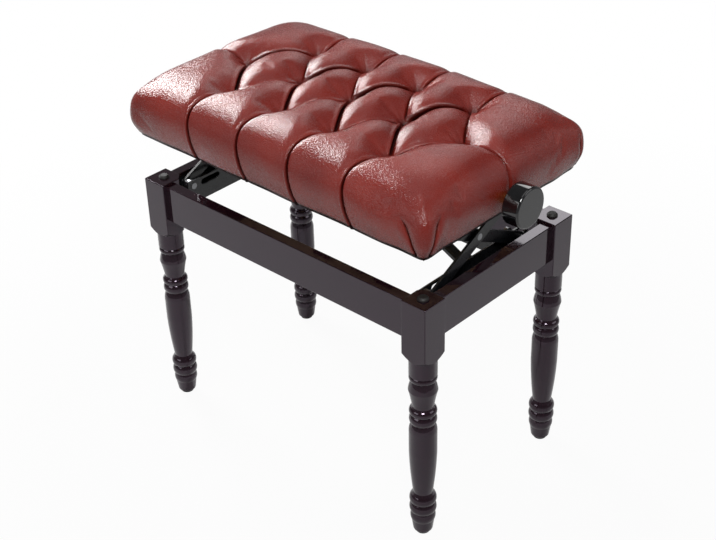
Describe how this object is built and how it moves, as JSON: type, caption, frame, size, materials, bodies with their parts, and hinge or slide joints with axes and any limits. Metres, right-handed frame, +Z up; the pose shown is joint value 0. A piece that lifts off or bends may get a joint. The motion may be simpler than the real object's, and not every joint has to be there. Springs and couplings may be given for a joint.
{
  "type": "adjustable piano bench",
  "caption": "Adjustable piano bench: turned wooden legs and rails carry a steel scissor lift under a tufted leather seat, which a knob-driven screw raises and lowers.",
  "frame": {"origin": "on the floor under the middle of the bench", "axes": "+X along the bench to the end with the jack strut's foot, +Y towards the rear long side, +Z up"},
  "size_m": [0.646, 0.349, 0.5849],
  "materials": {
    "lacquered_wood": "gloss",
    "seat_timber": "matte",
    "leather": "satin",
    "black_steel": "satin",
    "bright_steel": "satin",
    "knob_plastic": "gloss",
    "bumper_rubber": "matte",
    "glide_plastic": "matte",
    "bush_brass": "satin"
  },
  "bodies": {
    "base": {"leg_front_left": "lacquered_wood", "leg_front_right": "lacquered_wood", "leg_rear_left": "lacquered_wood", "leg_rear_right": "lacquered_wood", "rail_front": "lacquered_wood", "rail_rear": "lacquered_wood", "rail_left": "lacquered_wood", "rail_right": "lacquered_wood", "post_bumpers": "bumper_rubber", "foot_glides": "glide_plastic", "lower_channel_left": "black_steel", "lower_channel_right": "black_steel", "lower_channel_screws": "bright_steel", "lower_pivot_pins": "bright_steel", "lower_pivot_spacers": "bright_steel", "lower_tie_bar": "black_steel", "strut_foot_bracket": "black_steel", "strut_foot_pin": "bright_steel"},
    "scissor_a": {"scissor_arm_a_left": "black_steel", "scissor_arm_a_right": "black_steel", "upper_slide_rod": "bright_steel", "centre_pivot_pins": "bright_steel"},
    "scissor_b": {"scissor_arm_b_left": "black_steel", "scissor_arm_b_right": "black_steel", "upper_pivot_rod": "bright_steel", "lower_slide_pins": "bright_steel"},
    "seat": {"seat_board_front": "seat_timber", "seat_board_rear": "seat_timber", "seat_board_left": "seat_timber", "seat_board_right": "seat_timber", "seat_deck": "seat_timber", "seat_cushion": "leather", "seat_skirt": "leather", "upper_channel_left": "black_steel", "upper_channel_right": "black_steel", "upper_channel_screws": "bright_steel", "spindle_hanger_left": "black_steel", "spindle_hanger_right": "black_steel", "hanger_screws": "bright_steel", "spindle_bushes": "bush_brass"},
    "spindle": {"spindle": "bright_steel", "spindle_collars": "bright_steel", "knob_left": "knob_plastic", "knob_right": "knob_plastic"},
    "strut": {"jack_strut": "black_steel"},
    "nut": {"spindle_nut": "bright_steel", "strut_head_pin": "bright_steel"}
  },
  "joints": [
    {"name": "lift", "type": "hinge", "parent": "base", "child": "scissor_a", "pos_m": [0, -0.11, 0.385], "axis": [1, 0, 0], "range_deg": [-18.9, 1.4]},
    {"name": "scissor_cross", "type": "hinge", "parent": "scissor_a", "child": "scissor_b", "pos_m": [0, -0.0104, 0.434], "axis": [1, 0, 0], "range_deg": [-2.9, 37.9]},
    {"name": "seat_level", "type": "hinge", "parent": "scissor_b", "child": "seat", "pos_m": [0, -0.11, 0.483], "axis": [1, 0, 0], "range_deg": [-19, 1.5]},
    {"name": "spindle_turn", "type": "hinge", "parent": "seat", "child": "spindle", "pos_m": [0, 0, 0.502], "axis": [1, 0, 0], "range_deg": [-146, 1966]},
    {"name": "strut_foot", "type": "hinge", "parent": "base", "child": "strut", "pos_m": [0.217, 0, 0.371], "axis": [0, 1, 0], "range_deg": [-19, 1.5]},
    {"name": "strut_head", "type": "hinge", "parent": "strut", "child": "nut", "pos_m": [0.0178, 0, 0.469], "axis": [0, 1, 0], "range_deg": [-1.5, 19]}
  ],
  "couplings": [
    {"joint": "scissor_cross", "follows": "lift", "ratio": -2},
    {"joint": "seat_level", "follows": "lift", "ratio": 1},
    {"joint": "spindle_turn", "follows": "lift", "ratio": -104},
    {"joint": "strut_foot", "follows": "lift", "ratio": 1},
    {"joint": "strut_head", "follows": "lift", "ratio": -1}
  ]
}
